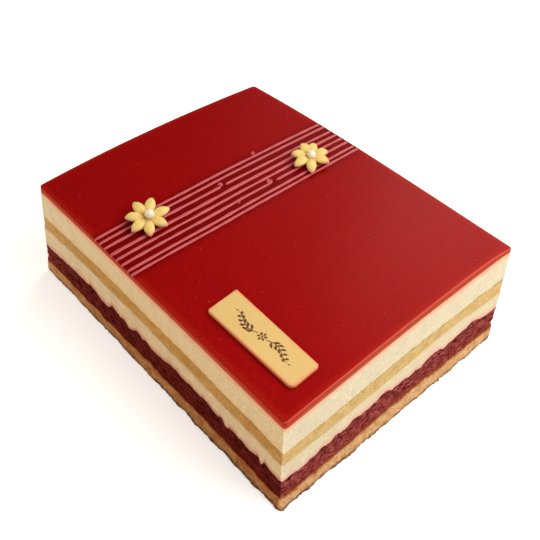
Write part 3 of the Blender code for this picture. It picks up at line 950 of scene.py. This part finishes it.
def makeDrops():
    bm = bmesh.new()
    tone = bm.verts.layers.float.new("tone")
    for x, y, radius, dent in drops["places"]:
        made = bmesh.ops.create_icosphere(bm, subdivisions=4, radius=radius)["verts"]
        for vert in made:
            spot = vert.co * (1 + 0.25 * unevenness(vert.co + Vector((x, y, 0)), 1.1, 43))
            hollow = max(0.0, 1 - (spot.xy.length / (radius * 0.6)) ** 2)
            vert[tone] = 0.7 * hollow if dent else 0.15
            spot.z *= drops["height"] * (1 - dent * hollow)
            vert.co = settled(Vector((x, y, cake["height"]))) + spot
    finishPiece(bm, "stray_drops", bpy.data.materials["pink drizzle"], "glaze")


makeDrops()


specks = {
    "count": 70,
    "radius": (0.1, 0.22),
    "seed": 11,
}


def speckMaterial():
    material, shader = newMaterial("pale specks", 0.5, 0.3)
    colour = mixed(noiseAt(20.0, 1), (180, 60, 54), (204, 104, 90))
    dressed(shader, colour, noiseAt(0.3, 2), 0.05, 0.5)
    return material


# tiny pale specks that lie scattered in the glaze
def makeSpecks():
    draw = random.Random(specks["seed"])
    bm = bmesh.new()
    for _ in range(specks["count"]):
        x = draw.uniform(-0.48, 0.48) * cake["length"]
        y = draw.uniform(-0.48, 0.48) * cake["depth"]
        radius = draw.uniform(*specks["radius"])
        made = bmesh.ops.create_icosphere(bm, subdivisions=1, radius=radius)["verts"]
        for vert in made:
            vert.co.z *= 0.35
            vert.co += settled(Vector((x, y, cake["height"])))
    finishPiece(bm, "glaze_specks", speckMaterial())


makeSpecks()


# The sugar flowers

flowers = {
    "flower_front": {
        "place": (-27.3, -36.9),
        "tips": -32,  # towards which it leans over
        "petals": (  # direction and reach of each
            (135, 10.4), (81, 9.7), (26, 8.8), (331, 9.2), (283, 9.0), (232, 8.7), (179, 9.4),
        ),
    },
    "flower_back": {
        "place": (-14.6, 38.4),
        "tips": -47,
        "petals": (
            (126, 7.7), (69, 8.0), (22, 8.6), (320, 9.8), (270, 9.3), (222, 8.3), (167, 7.7),
        ),
    },
}
petal = {
    "tilt": 9,
    "lift": 2.0,  # of the flower's middle over the glaze
    "width": 4.3,
    "height": 2.5,
    "start": 0.9,
    "swell": (0.10, 0.985),
    "forward": 1.25,
    "blunt": (0.75, 0.42),
    "upturn": 0.35,
    "stagger": 0.07,
    "belly": 0.42,  # height of its widest place, as a share of its own
    "ridges": (0.09, 5),
    "around": 32,
    "along": 40,
}
hub = {"foot": 2.4, "crown": 1.8, "low": -2.0, "high": 1.7}


def flowerPlace(name):
    x, y = flowers[name]["place"]
    towards = math.radians(flowers[name]["tips"])
    place = Matrix.Translation((x, y, glazeTop(x, y) + petal["lift"]))
    axis = Vector((-math.sin(towards), math.cos(towards), 0))
    return place @ Matrix.Rotation(math.radians(petal["tilt"]), 4, axis)


def sugarMaterial():
    material, shader = newMaterial("yellow sugar paste", 0.55, 0.3)
    colour = mixed(noiseAt(2.4, 3), (243, 210, 118), (250, 224, 144))
    tinted = between(carried("tone"), 0.0, -1.0, 0.0, 0.9)
    colour = mixed(tinted, colour, (250, 188, 144))
    shade = between(carried("tone"), 0.0, 1.0, 0.0, 0.85)
    colour = mixed(shade, colour, (216, 142, 62))
    dressed(shader, colour, noiseAt(0.5, 3), 0.08, 0.5)
    softInside(shader, 0.25, (1.0, 0.7, 0.3), 1.0)
    return material


def makeFlower(name, material):
    place = flowerPlace(name)
    bm = bmesh.new()
    bm.verts.layers.float.new("tone")
    (first, last), (blunt, steep) = petal["swell"], petal["blunt"]
    ridge, ridges = petal["ridges"]

    def onePetal(number, direction, reach):
        turned = place @ Matrix.Translation((0, 0, number * petal["stagger"]))
        turned = turned @ Matrix.Rotation(math.radians(direction), 4, "Z")

        def placeAt(turn, share):
            full = math.sin(math.pi * (first + (last - first) * share ** petal["forward"]))
            half = petal["width"] / 2 * max(full, 0.001) ** blunt
            tall = petal["height"] * max(full, 0.001) ** steep
            belly = petal["belly"]
            across, up = math.cos(turn), math.sin(turn)
            if share in (0, 1):
                across, up = 0, 0
            height = belly + (1 - belly) * up if up > 0 else belly + belly * 0.9 * up
            if up > 0:
                height += ridge * up * math.cos(across * ridges * math.pi) * full
            x = petal["start"] + (reach - petal["start"]) * share
            bend = 0.18 * unevenness(Vector((number, share * 2, direction)), 1, 44)
            spot = Vector((x, half * across + bend, petal["upturn"] * share**2 + tall * height))
            spot.z += 0.12 * unevenness(spot + Vector((direction, 0, 0)), 1.8, 45)
            # painted shade towards the root and the underside; tinted along the edge and at the tip
            deep = max(0.0, 0.38 - share) / 0.38 * 0.7 + max(0.0, -up)
            tinted = max(0.0, share - 0.78) / 0.22 + max(0.0, abs(across) - 0.8) * 2.5 * share
            return turned @ spot, min(1.0, deep) - min(1.0, tinted)

        rolled(bm, petal["around"], petal["along"], placeAt)

    for number, (direction, reach) in enumerate(flowers[name]["petals"]):
        onePetal(number, direction, reach)

    # the hub takes the petals' painted-shade colour
    def hubAt(turn, share):
        radius = hub["foot"] + (hub["crown"] - hub["foot"]) * share
        if share in (0, 1):
            radius = 0
        height = hub["low"] + (hub["high"] - hub["low"]) * share
        return place @ Vector((radius * math.cos(turn), radius * math.sin(turn), height)), 0.9

    rolled(bm, 24, 12, hubAt)
    finishPiece(bm, name + "_petals", material, name)


def pearlMaterial():
    material, shader = newMaterial("sugar pearl", 0.28, 0.5)
    colour = mixed(noiseAt(1.5, 2), (250, 240, 212), (252, 246, 226))
    dressed(shader, colour, noiseAt(0.5, 2), 0.03, 0.4)
    softInside(shader, 0.9, (1.0, 0.85, 0.7), 1.5)
    return material


# the pearls take their place and size from the frame
def makePearl(name, material):
    low, high = (Vector(corner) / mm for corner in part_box(name))
    centre, radius = (low + high) / 2, (high.z - low.z) / 2
    bm = bmesh.new()
    bmesh.ops.create_icosphere(bm, subdivisions=5, radius=radius)
    for vert in bm.verts:
        vert.co = centre + vert.co * (1 + 0.015 * unevenness(vert.co, 1.5, 46))
    finishPiece(bm, name + "_bead", material, name)


def makeFlowers():
    paste, shine = sugarMaterial(), pearlMaterial()
    for name in flowers:
        makeFlower(name, paste)
        makePearl(name + "_pearl", shine)


makeFlowers()


# The plaque

plaque = {
    "corners": ((24.0, -48.5, 1.1), (67.6, -48.9, 2.2), (67.0, -35.8, 1.3), (23.0, -34.3, 0.6)),
    "thick": 1.5,
    "edge": 0.35,
    "cuts": 1.1,  # spacing of the mesh on its faces
    "bow": 0.05,
    "clear": 0.05,  # over the glaze
}


def plaqueMaterial():
    material, shader = newMaterial("pale sugar plaque", 0.5, 0.3)
    colour = mixed(noiseAt(8.0, 3), (223, 184, 111), (233, 199, 128))
    grain = between(noiseAt(0.6, 2), 0.5, 0.75, 0.0, 0.4)
    colour = mixed(grain, colour, (220, 178, 106))
    colour = mixed(carried("tone"), colour, (236, 158, 108))
    dressed(shader, colour, noiseAt(0.7, 3), 0.05, 0.5)
    softInside(shader, 0.25, (1.0, 0.7, 0.35), 1.0)
    return material


def makePlaque():
    bm = bmesh.new()
    tone = bm.verts.layers.float.new("tone")
    corners = [bm.verts.new((x, y, 0)) for x, y, _ in plaque["corners"]]
    bm.faces.new(corners)
    for vert, (_, _, radius) in zip(corners, plaque["corners"]):
        bmesh.ops.bevel(
            bm, geom=[vert], offset=radius, segments=8, profile=0.5, affect="VERTICES", material=-1
        )
    raised = bmesh.ops.extrude_face_region(bm, geom=list(bm.faces))["geom"]
    top = [item for item in raised if isinstance(item, bmesh.types.BMVert)]
    bmesh.ops.translate(bm, vec=(0, 0, plaque["thick"]), verts=top)
    level = [edge for edge in bm.edges if abs(edge.verts[0].co.z - edge.verts[1].co.z) < 0.01]
    bmesh.ops.bevel(
        bm, geom=level, offset=plaque["edge"], segments=5, profile=0.5, affect="EDGES", material=-1
    )
    for axis in (0, 1):
        low, high = min(vert.co[axis] for vert in bm.verts), max(vert.co[axis] for vert in bm.verts)
        way = Vector((1, 0, 0)) if axis == 0 else Vector((0, 1, 0))
        for step in range(1, round((high - low) / plaque["cuts"])):
            cut = way * (low + step * plaque["cuts"])
            everything = list(bm.verts) + list(bm.edges) + list(bm.faces)
            bmesh.ops.bisect_plane(bm, geom=everything, dist=0.0001, plane_co=cut, plane_no=way)
    for vert in bm.verts:
        flat = vert.co.copy()
        vert[tone] = 1.0
        if flat.z > plaque["thick"] - 0.001:
            facings = {face.normal.z > 0.999 for face in vert.link_faces}
            vert[tone] = 0.9 if len(facings) > 1 else 0.0
            vert.co.z += plaque["bow"] * unevenness(flat, 9, 47) + 0.015 * unevenness(flat, 2.5, 48)
        vert.co.z += glazeTop(flat.x, flat.y) + plaque["clear"]
    finishPiece(bm, "plaque_tablet", plaqueMaterial(), "plaque", 50)


makePlaque()


# A generic leafy sprig, the same to both sides of a small blossom

sprig = {
    "middle": (45.5, -41.9),
    "turn": -1.0,
    "reach": (2.2, 14.0),  # where its stems start and end, from the middle
    "sway": 1.2,
    "stem": 0.17,
    "leaf": (2.7, 0.5),  # length and half width
    "leaves": (0.14, 0.3, 0.46, 0.62, 0.78),  # places along the stem
    "spread": 38,
    "dot": 0.32,
    "height": 0.16,
}


def sprigMaterial():
    material, shader = newMaterial("brown icing", 0.45, 0.4)
    colour = mixed(noiseAt(1.0, 2), (94, 48, 14), (124, 70, 22))
    dressed(shader, colour, noiseAt(0.4, 2), 0.04, 0.5)
    return material


def makeSprig():
    bm = bmesh.new()
    bm.verts.layers.float.new("tone")
    x, y = sprig["middle"]
    place = Matrix.Translation((x, y, glazeTop(x, y) + plaque["clear"] + plaque["thick"]))
    place = place @ Matrix.Rotation(math.radians(sprig["turn"]), 4, "Z")

    def stemAt(side, share):
        near, far = sprig["reach"]
        sway = sprig["sway"] * math.sin(math.tau * share * 0.75)
        return Vector((side * (near + (far - near) * share), side * sway, 0))

    def stroke(start, end, half, along, bend=0.0):
        way = end - start
        across = Vector((-way.y, way.x, 0)).normalized()

        def placeAt(turn, share):
            full = math.sin(math.pi * min(max(share, 0.0), 1.0)) ** 0.7 if 0 < share < 1 else 0
            spot = start + way * share + across * (bend * math.sin(math.pi * share))
            spot = spot + across * half * full * math.cos(turn)
            spot.z += sprig["height"] * full * math.sin(turn)
            return place @ spot, 0.0

        rolled(bm, 10, along, placeAt)

    def stem(side):
        def placeAt(turn, share):
            thin = sprig["stem"] * (1 - 0.5 * share) * (1 if 0 < share < 1 else 0)
            spot, ahead = stemAt(side, share), stemAt(side, share + 0.01)
            across = Vector((spot.y - ahead.y, ahead.x - spot.x, 0)).normalized()
            spot = spot + across * thin * math.cos(turn)
            spot.z += thin * 0.9 * math.sin(turn)
            return place @ spot, 0.0

        rolled(bm, 8, 60, placeAt)

    def dot(spot, radius):
        made = bmesh.ops.create_icosphere(bm, subdivisions=2, radius=radius)["verts"]
        for vert in made:
            vert.co.z *= 0.5
            vert.co = place @ (vert.co + spot)

    length, half = sprig["leaf"]
    for side in (-1, 1):
        stem(side)
        for number, share in enumerate(sprig["leaves"]):
            for up in (-1, 1):
                root = stemAt(side, share + (0.05 if up > 0 else 0))
                angle = math.radians(up * sprig["spread"])
                way = Vector((side * math.cos(angle), math.sin(angle), 0))
                grown = length * (1 - 0.09 * number)
                stroke(root, root + way * grown, half, 12, up * side * 0.25)
        dot(stemAt(side, 1.05), sprig["dot"])
        dot(stemAt(side, 1.11), sprig["dot"] * 0.6)
    for number in range(6):
        angle = math.radians(60 * number + 30)
        way = Vector((math.cos(angle), math.sin(angle), 0))
        stroke(way * 0.55, way * 2.0, 0.45, 10)
    dot(Vector((0, 0, 0)), 0.4)
    finishPiece(bm, "plaque_sprig", sprigMaterial())


makeSprig()


# The studio

studio = {
    "floor": 3.0,
    "floorGlow": 0.58,
    "world": 0.09,
    "backdrop": 1.0,
    "boxes": (  # name, place, size, power, colour
        ("key", (0.40, 0.18, 0.33), 0.35, 0.62, (1.0, 1.0, 1.0)),
        ("top", (0.20, 0.08, 0.33), 0.3, 1.05, (1.0, 1.0, 1.0)),
        ("back", (-0.26, 0.72, 0.72), 0.45, 2.8, (1.0, 0.93, 0.8)),
        ("veil", (-0.58, 0.86, 0.70), 0.6, 0.9, (1.0, 1.0, 1.0)),
        ("fill", (-0.60, -0.75, 0.32), 0.8, 4.6, (1.0, 0.79, 0.56)),
    ),
    "lens": 54.57,
    "shift": -0.0741,
    "camera": (0.1773, -0.1638, 0.2639),
    "azimuth": 46.81,
    "down": 42.35,
    "roll": 2.01,
}


def makeStudio():
    scene = bpy.context.scene
    scene.view_settings.view_transform = "Standard"
    bm = bmesh.new()
    bmesh.ops.create_grid(bm, x_segments=8, y_segments=8, size=studio["floor"])
    mesh = bpy.data.meshes.new("floor")
    bm.to_mesh(mesh)
    bm.free()
    floor = bpy.data.objects.new("floor", mesh)
    scene.collection.objects.link(floor)
    material, shader = newMaterial("pale floor", 0.9, 0.1)
    colour = mixed(noiseAt(400.0, 2), (0.9, 0.9, 0.9, 1), (0.92, 0.92, 0.92, 1))
    plug(colour, shader.inputs["Base Color"])
    shader.inputs["Emission Color"].default_value = (1, 1, 1, 1)
    shader.inputs["Emission Strength"].default_value = studio["floorGlow"]
    floor.data.materials.append(material)
    floor.visible_glossy = False
    world = bpy.data.worlds.new("studio")
    world.use_nodes = True
    background = world.node_tree.nodes["Background"]
    background.inputs["Color"].default_value = (1, 1, 1, 1)
    # the room is white where it is looked at, and dim as a light
    making["tree"] = world.node_tree
    direct = newNode("LightPath").outputs["Is Camera Ray"]
    glow = between(direct, 0, 1, studio["world"], studio["backdrop"])
    plug(glow, background.inputs["Strength"])
    scene.world = world
    for name, place, size, power, colour in studio["boxes"]:
        light = bpy.data.lights.new(name, "AREA")
        light.shape = "SQUARE"
        light.size = size
        light.energy = power
        light.color = colour
        lamp = bpy.data.objects.new(name, light)
        lamp.location = place
        lamp.rotation_euler = Vector(place).to_track_quat("Z", "Y").to_euler()
        lamp.visible_camera = False
        scene.collection.objects.link(lamp)
    lens = bpy.data.cameras.new("camera")
    lens.lens, lens.sensor_width = studio["lens"], 36
    lens.shift_y = studio["shift"]
    lens.clip_start = 0.01
    camera = bpy.data.objects.new("camera", lens)
    turn = Matrix.Rotation(math.radians(studio["azimuth"]), 4, "Z")
    turn = turn @ Matrix.Rotation(math.radians(90 - studio["down"]), 4, "X")
    turn = turn @ Matrix.Rotation(math.radians(studio["roll"]), 4, "Z")
    camera.matrix_world = Matrix.Translation(studio["camera"]) @ turn
    scene.collection.objects.link(camera)
    scene.camera = camera


makeStudio()
print("studio set")
